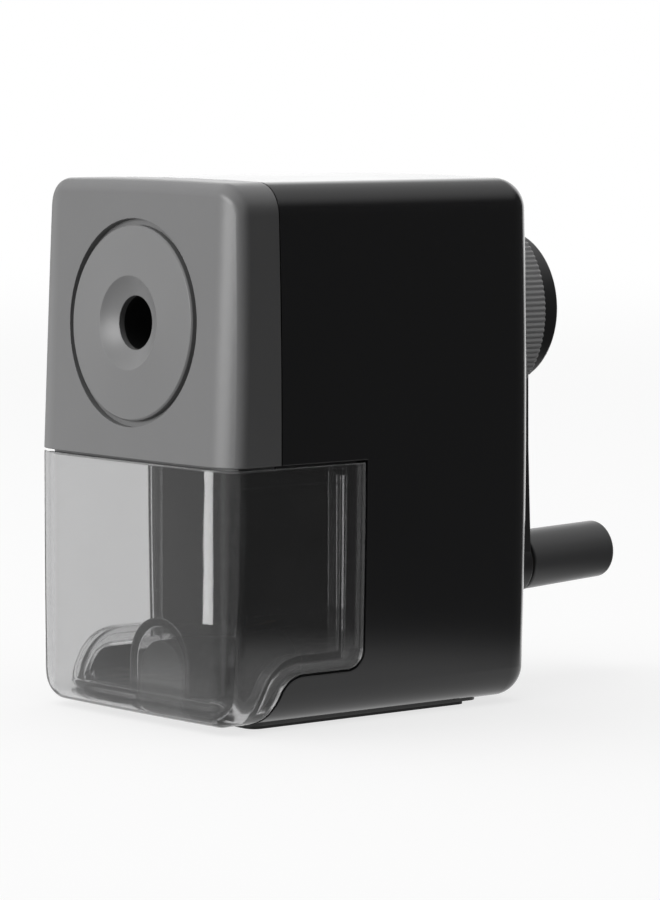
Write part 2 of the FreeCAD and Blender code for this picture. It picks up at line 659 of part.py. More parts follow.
def front_bush():
    return tube_y(BUSH_R, JOURNAL_R + RUNNING, BUSH_Y[0], BUSH_Y[1])


def pencil_guide():
    return revolved([(BUSH_R, -30.5), (BUSH_R, -23.0), (PENCIL_BORE_R, -23.0),
                     (PENCIL_BORE_R, -26.5), (6.6, -30.5)])


# ---------------------------------------------------------------- gears
def involute_polygon(teeth, pitch_r, outer_r, root_r, thin, steps=3):
    """Points of a spur gear outline; thin is taken off each flank along the pitch circle."""
    base_r = pitch_r * math.cos(PRESSURE)
    pitch_inv = math.tan(PRESSURE) - PRESSURE
    half = math.pi / (2 * teeth) - thin / pitch_r
    start_r = max(root_r, base_r)
    flank = []
    for i in range(steps + 1):
        r = start_r + (outer_r - start_r) * i / steps
        a = math.acos(min(1.0, base_r / r))
        flank.append((r, half + pitch_inv - (math.tan(a) - a)))
    points = []
    for tooth in range(teeth):
        middle = 2 * math.pi * tooth / teeth
        side = [(root_r, middle - flank[0][1])] if root_r < base_r else []
        side += [(r, middle - t) for r, t in flank]
        side += [(r, middle + t) for r, t in reversed(flank)]
        side += [(root_r, middle + flank[0][1])] if root_r < base_r else []
        points += side
    return [(r * math.cos(t), r * math.sin(t)) for r, t in points]


def module():
    return 2 * RING_PITCH_R / RING_TEETH


def ring_gear():
    """Internal gear; the gap that takes the pinion's top tooth is straight above the axis."""
    m = module()
    hole = involute_polygon(RING_TEETH, RING_PITCH_R, RING_PITCH_R + m, RING_PITCH_R - 0.72 * m, 0.0)
    corners = [V(-b, RING_Y[0] - 1, AXIS_Z + a) for a, b in hole]
    cut = Part.Face(Part.makePolygon(corners + corners[:1])).extrude(V(0, RING_Y[1] - RING_Y[0] + 2, 0))
    return cyl_y(RING_R, RING_Y[0], RING_Y[1]).cut(cut)


def cutter_axis_rise(y):
    """Height of the cutter's axis above the pencil axis at a station along Y."""
    t = math.radians(CONE_ANGLE)
    return CUTTER_R / math.cos(t) + (TIP_Y - y) * math.tan(t)


def tilt_to_cutter(shape):
    """Move a piece built along Y through the origin onto the cutter's sloping axis."""
    moved = shape.copy()
    moved.rotate(V(0, 0, 0), X_AXIS, -CONE_ANGLE)
    moved.translate(V(0, 0, AXIS_Z + cutter_axis_rise(0.0)))
    return moved


def along_axis(y):
    """Distance along the sloping cutter axis for a station along Y."""
    return y / math.cos(math.radians(CONE_ANGLE))


def gear_section(points, scale, y):
    corners = [V(-a * scale, y, b * scale) for a, b in points]
    return Part.makePolygon(corners + corners[:1])


def cutter_pinion():
    """Slightly conical, so that its outer side stays level with the ring's straight teeth."""
    t = math.radians(CONE_ANGLE)
    middle = (PINION_Y[0] + PINION_Y[1]) / 2.0
    pitch_r = (RING_PITCH_R - cutter_axis_rise(middle)) * math.cos(t)
    m = 2 * pitch_r / PINION_TEETH
    points = involute_polygon(PINION_TEETH, pitch_r, pitch_r + 0.72 * m, pitch_r - 0.95 * m, BACKLASH)
    quarter = [(-b, a) for a, b in points]
    sections = []
    for y in PINION_Y:
        reach = along_axis(y - middle)
        sections.append(gear_section(quarter, 1 + reach * math.tan(t) / pitch_r, along_axis(y)))
    body = Part.makeLoft(sections, True, True)
    bore = Part.makeCylinder(AXLE_R + RUNNING, 60, V(0, -30, 0), Y_AXIS)
    return tilt_to_cutter(body.cut(bore))


def helical_cutter():
    """Blades wound about the cutter's own axis, with a plain hub at each end."""
    y0, y1 = along_axis(CUTTER_Y[0]), along_axis(CUTTER_Y[1])
    valley = CUTTER_R - 1.15
    steps = 6
    sections = []
    for i in range(steps + 1):
        corners = []
        for blade in range(CUTTER_BLADES):
            for radius, lead in ((valley, 0.0), (CUTTER_R, 0.42), (CUTTER_R, 0.52), (valley, 0.70)):
                t = 2 * math.pi * (blade + lead) / CUTTER_BLADES + math.radians(CUTTER_TWIST) * i / steps
                y = y0 + 1.0 + (y1 - y0 - 2.0) * i / steps
                corners.append(V(radius * math.cos(t), y, radius * math.sin(t)))
        sections.append(Part.makePolygon(corners + corners[:1]))
    body = Part.makeLoft(sections, True, True)
    hubs = Part.makeCylinder(3.6, y1 - y0, V(0, y0, 0), Y_AXIS)
    bore = Part.makeCylinder(AXLE_R + RUNNING, 60, V(0, -20, 0), Y_AXIS)
    return tilt_to_cutter(body.fuse(hubs).cut(bore))


def cutter_axle():
    y0, y1 = along_axis(AXLE_Y[0]), along_axis(AXLE_Y[1])
    return tilt_to_cutter(Part.makeCylinder(AXLE_R, y1 - y0, V(0, y0, 0), Y_AXIS))


# ---------------------------------------------------------------- carrier
def cutter_carrier():
    """Turning cage: front journal, two cheeks that hold the axle, and a cone trough."""
    adds = [
        cyl_y(JOURNAL_R, -22.0, CHEEK_Y[0] + 1.0),
        cyl_y(CHEEK_R, CHEEK_Y[0], CHEEK_Y[1]),
        cyl_y(CARRIER_R, CHEEK_Y[1] - 1.0, REAR_CHEEK_Y[1]),
        cyl_y(HUB_R, REAR_CHEEK_Y[1] - 1.0, HUB_Y),
    ]
    body = fuse_all(adds)
    upper = box(-FAR, FAR, CHEEK_Y[1], REAR_CHEEK_Y[0], AXIS_Z + 0.6, FAR * 2)
    body = body.cut(upper)
    window = Part.makeCylinder(CUTTER_R + 0.9, along_axis(REAR_CHEEK_Y[0] - CHEEK_Y[1] - 1.0),
                               V(0, along_axis(CHEEK_Y[1] + 0.2), 0), Y_AXIS)
    room = tilt_to_cutter(window).common(box(-FAR, FAR, CHEEK_Y[1], REAR_CHEEK_Y[0], 0, FAR * 2))
    body = body.cut(room)
    t = math.tan(math.radians(CONE_ANGLE))
    wide_y = TIP_Y - (PENCIL_BORE_R / t)
    rod_r = ROD_R + 0.1
    tip = revolved([
        (0.0, -25.0), (PENCIL_BORE_R, -25.0), (PENCIL_BORE_R, wide_y), (rod_r, TIP_Y - rod_r / t),
        (rod_r, SHAFT_Y[0] + 0.5), (0.0, SHAFT_Y[0] + 0.5),
    ])
    body = body.cut(tip)
    body = body.cut(cyl_y(SHAFT_R, SHAFT_Y[0], HUB_Y + 1.0))
    y0, y1 = along_axis(AXLE_Y[0] - 3.0), along_axis(AXLE_Y[1] + 3.0)
    axle = tilt_to_cutter(Part.makeCylinder(AXLE_R, y1 - y0, V(0, y0, 0), Y_AXIS))
    return body.cut(axle)


def drive_shaft():
    """Hollow shaft: the stop rod slides inside, a slot lets its cross pin through."""
    shaft = cyl_y(SHAFT_R, SHAFT_Y[0], SHAFT_Y[1])
    shaft = shaft.cut(cyl_y(ROD_R + RUNNING, SHAFT_Y[0] - 1, 55.0))
    slot_w = CROSS_PIN_R + 0.1
    shaft = shaft.cut(box(-FAR, FAR, CROSS_PIN_Y - STOP_TRAVEL - 1.2, CROSS_PIN_Y + 1.2,
                          AXIS_Z - slot_w, AXIS_Z + slot_w))
    shaft = shaft.cut(box(-FAR, FAR, FLAT_Y, FAR, AXIS_Z + FLAT_AT, FAR * 2))
    return shaft.cut(cyl_y(HUB_SCREW_R, 57.0, 70.0))


def stop_rod():
    """Round rod whose tip is cut down to a half, to pass beside the cutter."""
    rod = cyl_y(ROD_R, ROD_Y[0], ROD_Y[1])
    rod = rod.cut(box(-FAR, FAR, -FAR, ROD_Y[0] + 4.5, AXIS_Z - 0.35, FAR * 2))
    return rod.cut(cross_pin())


def cross_pin():
    start = V(-CROSS_PIN_HALF, CROSS_PIN_Y, AXIS_Z)
    return Part.makeCylinder(CROSS_PIN_R, 2 * CROSS_PIN_HALF, start, X_AXIS)


def stop_collar():
    collar = tube_y(COLLAR_R, SHAFT_R + 0.1, COLLAR_Y[0], COLLAR_Y[1])
    half = GROOVE_W / 2.0
    collar = collar.cut(cyl_y(CROSS_PIN_HALF + 0.3, CROSS_PIN_Y - half, CROSS_PIN_Y + half))
    for side in (-1, 1):
        collar = collar.cut(cyl_y(GUIDE_PIN_R + 0.1, 40, 60, side * GUIDE_PIN_AT))
    return collar


def collar_guide_pins():
    return Part.makeCompound([cyl_y(GUIDE_PIN_R, GUIDE_PIN_Y[0], GUIDE_PIN_Y[1], side * GUIDE_PIN_AT)
                              for side in (-1, 1)])


def rear_bush():
    bush = tube_y(REAR_BUSH_R, SHAFT_R + RUNNING, REAR_BUSH_Y[0], REAR_BUSH_Y[1])
    flange = tube_y(BUSH_FLANGE_R, SHAFT_R + RUNNING, REAR_BUSH_Y[0], REAR_BUSH_Y[0] + BUSH_FLANGE_T)
    return bush.fuse(flange).removeSplitter()


def thrust_washer():
    return tube_y(6.8, SHAFT_R + 0.1, HUB_Y + 0.3, REAR_BUSH_Y[0] - 0.3)


# ---------------------------------------------------------------- point adjuster
def adjuster_ring():
    ribs = []
    for i in range(RING_KNURL_RIBS):
        for lead, radius in ((0.0, RING_KNURL_R - KNURL_DEPTH), (0.42, RING_KNURL_R), (0.62, RING_KNURL_R)):
            t = 2 * math.pi * (i + lead) / RING_KNURL_RIBS
            ribs.append(V(radius * math.cos(t), ADJ_Y[0] + 1.0, AXIS_Z + radius * math.sin(t)))
    knurl = Part.Face(Part.makePolygon(ribs + ribs[:1])).extrude(V(0, ADJ_Y[1] - ADJ_Y[0] - 1.4, 0))
    rim_r = RING_KNURL_R - KNURL_DEPTH - 0.1
    core = revolved([(8.0, ADJ_Y[0]), (rim_r, ADJ_Y[0]), (rim_r, ADJ_Y[1] - 0.3), (rim_r - 0.3, ADJ_Y[1]),
                     (8.0, ADJ_Y[1])])
    ring = knurl.fuse(core)
    inner = RING_KNURL_R - ADJ_RIM_T
    ring = ring.cut(tube_y(inner, SLEEVE_R, ADJ_Y[0] - 1, ADJ_Y[1] - ADJ_WEB_T))
    return ring.cut(cyl_y(COLLAR_R + 0.1, ADJ_Y[0] - 1, ADJ_Y[1] + 1))


def adjuster_clip():
    """Spring clip that keeps the ring on the guide tube."""
    clip = tube_y(CLIP_R, GUIDE_TUBE_R, CLIP_Y[0], CLIP_Y[1])
    return clip.cut(box(-3, 3, REAR_Y, FAR, 0, AXIS_Z))


def click_spring():
    """Leaf that clicks in the ring, standing on the rear wall."""
    inner = RING_KNURL_R - ADJ_RIM_T
    low = CLICK_TOP - 3.0
    leaf = tube_y(inner - 0.5, inner - 1.1, low, CLICK_TOP).common(box(-7, 7, 0, FAR, AXIS_Z, FAR * 2))
    foot = tube_y(inner - 1.0, inner - 2.4, REAR_Y, CLICK_TOP).common(box(-2, 2, 0, FAR, AXIS_Z, FAR * 2))
    bump = cyl_y(0.7, low, CLICK_TOP, 0.0, AXIS_Z + inner - 0.85)
    return fuse_all([leaf, foot, bump])


# ---------------------------------------------------------------- crank
def tilt_arm(shape):
    moved = shape.copy()
    moved.rotate(V(0, ARM_PIVOT_Y, AXIS_Z), X_AXIS, ARM_TILT)
    return moved


def crank_arm():
    cap = cyl_y(CAP_R, CAP_Y[0], CAP_Y[1])
    cap = fillet_where(cap, CAP_EDGE_R, lambda e: e.BoundBox.YMin > CAP_Y[1] - 0.01)
    y0, y1 = ARM_PIVOT_Y - ARM_T / 2.0, ARM_PIVOT_Y + ARM_T / 2.0
    low = AXIS_Z - CRANK_R
    stations = list(zip(ARM_HALF_W, (AXIS_Z - 10.0, AXIS_Z - 32.0, low)))
    corners = [V(w, y0, z) for w, z in stations] + [V(-w, y0, z) for w, z in reversed(stations)]
    web = Part.Face(Part.makePolygon(corners + corners[:1])).extrude(V(0, y1 - y0, 0))
    web = fillet_where(web, 0.9, lambda e: not along_y(e))
    boss = cyl_y(ARM_BOSS_R, y0 - 0.4, y1, 0, low)
    boss = fillet_where(boss, 0.8, lambda e: e.BoundBox.YLength < 0.01)
    arm = tilt_arm(fuse_all([web, boss]))
    arm = arm.cut(cyl_y(CAP_R - 3.0, CAP_Y[0] - 20, CAP_Y[0] + 3.0))
    whole = fuse_all([cap, arm])
    whole = whole.cut(cyl_y(CAP_R - 2.6, CAP_Y[0] - 1, CAP_Y[0] + 2.6).cut(cyl_y(9.0, 50, 80)))
    whole = whole.cut(cyl_y(INSERT_R, CAP_Y[0] - 1, CAP_Y[1] - HUB_RECESS))
    whole = whole.cut(cyl_y(PLUG_R, CAP_Y[1] - HUB_RECESS, CAP_Y[1] + 5))
    return whole.cut(tilt_arm(cyl_y(PIN_R, y0 - 5, y1 + 5, 0, low)))


def hub_insert():
    insert = cyl_y(INSERT_R, CAP_Y[0], CAP_Y[1] - HUB_RECESS)
    bore = cyl_y(SHAFT_R, CAP_Y[0] - 1, CAP_Y[1] + 1)
    bore = bore.cut(box(-FAR, FAR, 0, FAR, AXIS_Z + FLAT_AT, FAR * 2))
    return insert.cut(bore)


def hub_screw():
    seat = CAP_Y[1] - HUB_RECESS
    head = cyl_y(4.8, seat, seat + 1.5)
    shank = cyl_y(HUB_SCREW_R, 57.2, seat + 0.1)
    cross = box(-0.4, 0.4, seat + 0.7, 80, AXIS_Z - 3, AXIS_Z + 3)
    return head.fuse(shank).cut(cross).removeSplitter()


def hub_cap():
    y = CAP_Y[1] - HUB_RECESS
    return revolved([(5.4, y), (PLUG_R, y), (PLUG_R, y + 1.5), (PLUG_R - 0.6, y + 2.1), (5.0, y + 2.6),
                     (0.0, y + 2.8), (0.0, y + 1.9), (5.4, y + 1.7)])


def grip_frame_y():
    """Outer face of the arm's boss, measured before the arm is tilted."""
    return ARM_PIVOT_Y + ARM_T / 2.0


def handle_pin():
    y = grip_frame_y()
    low = AXIS_Z - CRANK_R
    shank = cyl_y(PIN_R, y - ARM_T - 0.7, y + GRIP_LEN - 4.0, 0, low)
    head = cyl_y(4.6, y + GRIP_LEN - 4.0, y + GRIP_LEN - 2.6, 0, low)
    rivet = cyl_y(4.4, y - ARM_T - 1.7, y - ARM_T - 0.7, 0, low)
    return tilt_arm(fuse_all([shank, head, rivet]))


def handle_washer():
    y = grip_frame_y()
    return tilt_arm(tube_y(5.2, PIN_R + 0.05, y, y + GRIP_GAP - 0.1, 0, AXIS_Z - CRANK_R))


def handle_grip():
    y0 = grip_frame_y() + GRIP_GAP
    y1 = grip_frame_y() + GRIP_LEN
    low = AXIS_Z - CRANK_R
    grip = Part.makeCone(GRIP_ROOT_R, GRIP_END_R, y1 - y0, V(0, y0, low), Y_AXIS)
    grip = fillet_where(grip, 1.1, lambda e: e.BoundBox.YMin > y1 - 0.01)
    grip = fillet_where(grip, 0.5, lambda e: e.BoundBox.YMax < y0 + 0.01)
    grip = grip.cut(cyl_y(PIN_R + 0.08, y0 - 1, y1 + 1, 0, low))
    grip = grip.cut(cyl_y(5.0, y1 - 4.1, y1 + 1, 0, low))
    return tilt_arm(grip)


def handle_cap():
    y1 = grip_frame_y() + GRIP_LEN
    return tilt_arm(cyl_y(5.0, y1 - 1.4, y1 - 0.25, 0, AXIS_Z - CRANK_R))


PIECES = {
    "housing": housing,
    "front_bezel": front_bezel,
    "guide_disc": guide_disc,
    "entry_sleeve": entry_sleeve,
    "disc_screws": disc_screws,
    "pencil_guide": pencil_guide,
    "shavings_drawer": shavings_drawer,
    "base_plate": base_plate,
    "rubber_foot": rubber_foot,
    "clamp_socket": clamp_socket,
    "base_screws": base_screws,
    "cutter_frame": cutter_frame,
    "frame_screws": frame_screws,
    "front_bush": front_bush,
    "rear_bush": rear_bush,
    "ring_gear": ring_gear,
    "cutter_pinion": cutter_pinion,
    "helical_cutter": helical_cutter,
    "cutter_axle": cutter_axle,
    "cutter_carrier": cutter_carrier,
    "drive_shaft": drive_shaft,
    "thrust_washer": thrust_washer,
    "stop_rod": stop_rod,
    "cross_pin": cross_pin,
    "stop_collar": stop_collar,
    "collar_guide_pins": collar_guide_pins,
    "adjuster_ring": adjuster_ring,
    "adjuster_clip": adjuster_clip,
    "click_spring": click_spring,
    "crank_arm": crank_arm,
    "hub_insert": hub_insert,
    "hub_screw": hub_screw,
    "hub_cap": hub_cap,
    "handle_pin": handle_pin,
    "handle_washer": handle_washer,
    "handle_grip": handle_grip,
    "handle_cap": handle_cap,
}


def main():
    os.makedirs("parts", exist_ok=True)
    for name, make in PIECES.items():
        shape = make()
        print(name, "solids", len(shape.Solids), "valid", shape.isValid(), "volume", round(shape.Volume, 1))
        shape.exportStep(os.path.join("parts", name + ".step"))


main()
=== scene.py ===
"""Studio scene for the crank pencil sharpener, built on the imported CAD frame, in metres."""
import json
import math

import bpy
from mathutils import Matrix, Vector


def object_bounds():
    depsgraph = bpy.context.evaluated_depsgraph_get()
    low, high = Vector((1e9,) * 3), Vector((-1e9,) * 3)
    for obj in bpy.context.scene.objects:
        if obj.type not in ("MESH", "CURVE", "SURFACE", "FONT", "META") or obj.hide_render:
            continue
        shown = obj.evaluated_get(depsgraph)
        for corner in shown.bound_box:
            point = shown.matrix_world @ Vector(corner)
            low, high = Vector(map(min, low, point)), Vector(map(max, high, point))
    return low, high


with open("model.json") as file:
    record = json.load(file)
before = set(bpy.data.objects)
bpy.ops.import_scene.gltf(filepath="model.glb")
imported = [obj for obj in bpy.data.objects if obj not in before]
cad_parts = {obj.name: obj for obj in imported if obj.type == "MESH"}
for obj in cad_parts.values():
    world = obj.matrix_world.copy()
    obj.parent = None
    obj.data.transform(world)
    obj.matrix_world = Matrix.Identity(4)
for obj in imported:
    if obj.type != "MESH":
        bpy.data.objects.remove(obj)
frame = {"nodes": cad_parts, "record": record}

cad_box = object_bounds()

# ---- camera: the photograph's viewing angle ----
CAMERA_AT = (0.7298, -0.5966, 0.1399)
CAMERA_AZIMUTH = 50.137       # degrees, 0 looks along +Y
CAMERA_PITCH = 5.09           # downwards
CAMERA_ROLL = 0.137
CAMERA_LENS = 171.81          # mm, on a sensor 36 mm along the longer side
CAMERA_CLIP = (0.01, 100.0)

# ---- moulded plastic: scales are per metre, depths and radii in metres ----
BEVEL_SAMPLES = 4
EDGE_RADIUS = 0.0003          # how far moulded edges look rounded
EDGE_GAIN = 3.0
EDGE_WEAR_HIGHLIGHT_LIFT = 0.05              # pigment added along edges, partly as wear and partly as a painted highlight
EDGE_WEAR_HIGHLIGHT_PALE = 1.35
EDGE_POLISH = 0.25            # share of the roughness that worn edges lose
GRAIN_SCALE = 5200.0
GRAIN_DEPTH = 0.00004
WAVE_SCALE = 55.0             # slow unevenness of glossy walls
WAVE_DEPTH = 0.0004
BLOTCH_SCALE = 38.0           # slow change of pigment and gloss
BLOTCH_PIGMENT = (0.93, 1.07)
SPECK_SCALE = 2600.0
SPECK_RANGE = (0.62, 0.8)     # noise levels between which specks fade in
SPECK_SHARE = 0.35
SPECK_PALE = 1.25
SMEAR_SCALE = 700.0
SMEAR_SHARE = 0.6             # of the gloss variation that blotches have

# ---- metal ----
LINE_SCALE = 1800.0           # machining lines
LINE_DEPTH = 0.00003
LINE_SHARE = 0.3
LINE_PALE = 1.15
LINE_ROUGHNESS = 0.22         # added by the lines
METAL_POLISH = 0.1            # taken off the roughness between them
STAIN_SCALE = 120.0
STAIN_RANGE = (0.5, 0.8)
STAIN_SHARE = 0.2
STAIN_DARK = 0.55
STAIN_ROUGHNESS = 0.12

# ---- rubber ----
RIB_SCALE = 160.0
RIB_BEND = 0.2
RIB_STRENGTH = 0.5
RIB_DEPTH = 0.0002
DUST_SCALE = 300.0
DUST_RANGE = (0.5, 0.8)
DUST_SHARE = 0.5
DUST_LIFT = 0.03
DUST_PALE = 1.2
DUST_STRENGTH = 0.3
DUST_DEPTH = 0.00005
RUBBER_ROUGHNESS = 0.78

# ---- clear plastic ----
CLEAR_IOR = 1.52
CLEAR_EDGE_RADIUS = 0.0006
CLEAR_TINT = (0.02, 0.02, 0.03, 1.0)
CLEAR_DENSITY = 114.0         # of the smoke tint, per metre
CLEAR_SHADOW = 0.86           # light that each clear surface lets through in shadows
CLEAR_ROUGHNESS = 0.02
FLOW_SCALE = 45.0             # slow unevenness from moulding
FLOW_STRENGTH = 0.03
HAIR_SCALE = 2400.0           # upright hairline scratches
HAIR_STRETCH = (1.0, 1.0, 0.08)
HAIR_RANGE = (0.6, 0.8)
HAIR_ROUGHNESS = 0.05
HAZE = 0.016                  # share of light that scatters off each clear surface
HAZE_SCALE = 60.0
HAZE_WHITE = 0.8

# ---- stage ----
BACKDROP = 1.0
FLOOR_SIZE = 6.0
FLOOR_GREY = 0.36
FLOOR_GLOW = 0.73
FLOOR_FADE = (0.5, 2.2)       # the floor melts into the backdrop between these distances
WHITE_TABLE = (0.07, 0.15)    # reflections see a white table out to here, then the room
TABLE_GLOSSY = 0.85           # brightness of the white table in reflections
TABLE_SOFT = 0.25             # and as it lights dull surfaces
TABLE_EDGE = 0.02             # and as the floor beyond it lights them
BEHIND = (0.2, 0.45)          # clear pieces show the backdrop along the view, not across it
TRAPPED = 0.2                 # how bright the soft boxes look through clear pieces

# ---- soft boxes round the horizon: from, to and softness in degrees, then brightness ----
# Heights are the z of a unit direction.
FRONT_BOX = (-100.0, 6.0, 14.0, 0.75)
LEFT_REAR_BOX = (-172.0, -112.0, 8.0, 1.6)
RIGHT_BOX = (20.0, 180.0, 10.0, 0.11)
DULL_BOX = (-115.0, -20.0, 22.0, 0.7)
BOX_HEIGHT = (0.35, 0.75)     # they dim between these heights
BOX_TOP = 0.3                 # down to this share
SKY_GLOSSY = (0.25, 0.8, 0.9)     # heights between which the ceiling grows bright, and how bright
SKY_DULL = (0.3, 0.95, 0.45)
AMBIENT = 0.025

# ---- lamps ----
KEY_AT = (-0.18, -1.62, 0.40)
KEY_SIZE = (1.0, 0.7)
KEY_POWER = 17.2
STRIP_AT = (-0.0832, -0.1751, 0.034)      # tall narrow lamp that the drawer's front corner mirrors
STRIP_AIM = (0.0233, -0.0426, 0.034)
STRIP_SIZE = (0.0527, 0.066)
STRIP_POWER = 0.088
REAR_AT = (1.3, 1.2, 0.7)
REAR_SIZE = (0.8, 0.8)
REAR_POWER = 12.0
OVERHEAD_AT = (-0.1, -0.2, 1.3)
OVERHEAD_SIZE = (1.4, 1.4)
OVERHEAD_POWER = 4.0
CLEAR_NODE = "shavings_drawer"    # gets no mirror image of the key light
FRONT_NODES = ("front_bezel", "guide_disc", CLEAR_NODE)


# ---------------------------------------------------------------- node helpers
class Tree:
    """Short way to write node trees: values that are sockets are linked, others are set."""

    def __init__(self, tree):
        self.tree = tree
        tree.nodes.clear()

    def add(self, kind, inputs=None, out=0, **settings):
        node = self.tree.nodes.new(kind)
        for key, value in settings.items():
            setattr(node, key, value)
        for key, value in (inputs or {}).items():
            socket = node.inputs[key]
            if isinstance(value, bpy.types.NodeSocket):
                self.tree.links.new(value, socket)
            else:
                socket.default_value = value
        return node.outputs[out] if len(node.outputs) else node

    def math(self, operation, a, b=0.0, c=0.0, clamp=False):
        return self.add("ShaderNodeMath", {0: a, 1: b, 2: c}, operation=operation, use_clamp=clamp)

    def step(self, value, start, end, low=0.0, high=1.0):
        """Smooth change from low to high as value goes from start to end."""
        return self.add("ShaderNodeMapRange", {"Value": value, "From Min": start, "From Max": end,
                                               "To Min": low, "To Max": high},
                        interpolation_type="SMOOTHERSTEP")

    def mix(self, factor, a, b):
        node = self.tree.nodes.new("ShaderNodeMix")
        node.data_type = "RGBA"
        for socket, value in ((node.inputs[0], factor), (node.inputs[6], a), (node.inputs[7], b)):
            if isinstance(value, bpy.types.NodeSocket):
                self.tree.links.new(value, socket)
            else:
                socket.default_value = value
        return node.outputs[2]

    def noise(self, scale, detail=3.0, roughness=0.55, stretch=None):
        coords = self.add("ShaderNodeTexCoord", out="Object")
        if stretch:
            coords = self.add("ShaderNodeMapping", {"Vector": coords, "Scale": stretch})
        return self.add("ShaderNodeTexNoise", {"Vector": coords, "Scale": scale, "Detail": detail,
                                               "Roughness": roughness})

    def bevel(self, radius):
        """The surface's normal, rounded over at edges."""
        return self.add("ShaderNodeBevel", {"Radius": radius}, samples=BEVEL_SAMPLES)

    def bump(self, strength, depth, height, normal=None):
        inputs = {"Strength": strength, "Distance": depth, "Height": height}
        if normal is not None:
            inputs["Normal"] = normal
        return self.add("ShaderNodeBump", inputs)

    def glow(self, level):
        return self.add("ShaderNodeEmission", {"Color": grey(1.0), "Strength": level})

    def dot(self, a, b):
        return self.add("ShaderNodeVectorMath", {0: a, 1: b}, out="Value", operation="DOT_PRODUCT")

    def surface(self, shader, volume=None):
        inputs = {"Surface": shader}
        if volume is not None:
            inputs["Volume"] = volume
        self.add("ShaderNodeOutputMaterial", inputs)


def grey(level):
    return (level, level, level, 1.0)


def tinted(colour, gain):
    return tuple(min(1.0, c * gain) for c in colour) + (1.0,)


def edge_mask(t):
    """Near 1 along sharp outer edges, 0 on open faces."""
    true_normal = t.add("ShaderNodeNewGeometry", out="Normal")
    bend = t.math("SUBTRACT", 1.0, t.dot(t.bevel(EDGE_RADIUS), true_normal))
    return t.math("MULTIPLY", bend, EDGE_GAIN, clamp=True)


def plastic(name, colour, rough, grain=0.0, edge_wear_and_highlight=0.25, smudge=0.05, ior=1.5, wave=0.0):
    """Moulded plastic: pigment and gloss variation, mould grain, slightly polished edges, and paler edges
    that are partly wear and partly a painted highlight.
    """
    material = bpy.data.materials.new(name)
    material.use_nodes = True
    t = Tree(material.node_tree)
    blotch = t.noise(BLOTCH_SCALE, 4.0)
    speck = t.noise(SPECK_SCALE, 2.0)
    base = t.mix(blotch, *(tinted(colour, gain) for gain in BLOTCH_PIGMENT))
    base = t.mix(t.step(speck, *SPECK_RANGE, 0.0, SPECK_SHARE), base, tinted(colour, SPECK_PALE))
    edges = edge_mask(t)
    # painted highlight: edges get paler pigment, partly as wear and partly standing in for the highlight
    # that the edges catch
    worn_and_highlit = tinted([c + EDGE_WEAR_HIGHLIGHT_LIFT for c in colour], EDGE_WEAR_HIGHLIGHT_PALE)
    base = t.mix(t.math("MULTIPLY", edges, edge_wear_and_highlight), base, worn_and_highlit)
    roughness = t.math("MULTIPLY_ADD", blotch, smudge, rough - smudge / 2)
    roughness = t.math("MULTIPLY_ADD", t.noise(SMEAR_SCALE), smudge * SMEAR_SHARE, roughness)
    roughness = t.math("MULTIPLY_ADD", edges, -EDGE_POLISH * rough, roughness, clamp=True)
    normal = t.bevel(EDGE_RADIUS)
    if wave:
        normal = t.bump(wave, WAVE_DEPTH, t.noise(WAVE_SCALE, 1.0), normal)
    if grain:
        normal = t.bump(grain, GRAIN_DEPTH, t.noise(GRAIN_SCALE, 2.0), normal)
    t.surface(t.add("ShaderNodeBsdfPrincipled", {"Base Color": base, "Roughness": roughness, "IOR": ior,
                                                 "Normal": normal}))
    return material


def metal(name, colour, rough, brushed=(1.0, 1.0, 1.0), scratch=0.15):
    """Metal with fine machining lines, gloss variation and a few darker stains."""
    material = bpy.data.materials.new(name)
    material.use_nodes = True
    t = Tree(material.node_tree)
    lines = t.noise(LINE_SCALE, stretch=brushed)
    stains = t.noise(STAIN_SCALE, 5.0, 0.7)
    stained = t.step(stains, *STAIN_RANGE, 0.0, STAIN_SHARE)
    base = t.mix(stained, tinted(colour, 1.0), tinted(colour, STAIN_DARK))
    base = t.mix(t.math("MULTIPLY", lines, LINE_SHARE), base, tinted(colour, LINE_PALE))
    roughness = t.math("MULTIPLY_ADD", lines, LINE_ROUGHNESS, rough - METAL_POLISH)
    roughness = t.math("MULTIPLY_ADD", stains, STAIN_ROUGHNESS, roughness, clamp=True)
    normal = t.bump(scratch, LINE_DEPTH, lines)
    t.surface(t.add("ShaderNodeBsdfPrincipled", {"Base Color": base, "Metallic": 1.0,
                                                 "Roughness": roughness, "Normal": normal}))
    return material


def rubber(name, colour):
    """Soft black rubber with fine ribs across it and dust in the hollows."""
    material = bpy.data.materials.new(name)
    material.use_nodes = True
    t = Tree(material.node_tree)
    coords = t.add("ShaderNodeTexCoord", out="Object")
    ribs = t.add("ShaderNodeTexWave", {"Vector": coords, "Scale": RIB_SCALE, "Distortion": RIB_BEND}, out=1)
    dust = t.noise(DUST_SCALE, 5.0, 0.7)
    dusty = tinted([c + DUST_LIFT for c in colour], DUST_PALE)
    base = t.mix(t.step(dust, *DUST_RANGE, 0.0, DUST_SHARE), tinted(colour, 1.0), dusty)
    normal = t.bump(RIB_STRENGTH, RIB_DEPTH, ribs)
    normal = t.bump(DUST_STRENGTH, DUST_DEPTH, dust, normal)
    t.surface(t.add("ShaderNodeBsdfPrincipled", {"Base Color": base, "Roughness": RUBBER_ROUGHNESS,
                                                 "Normal": normal}))
    return material


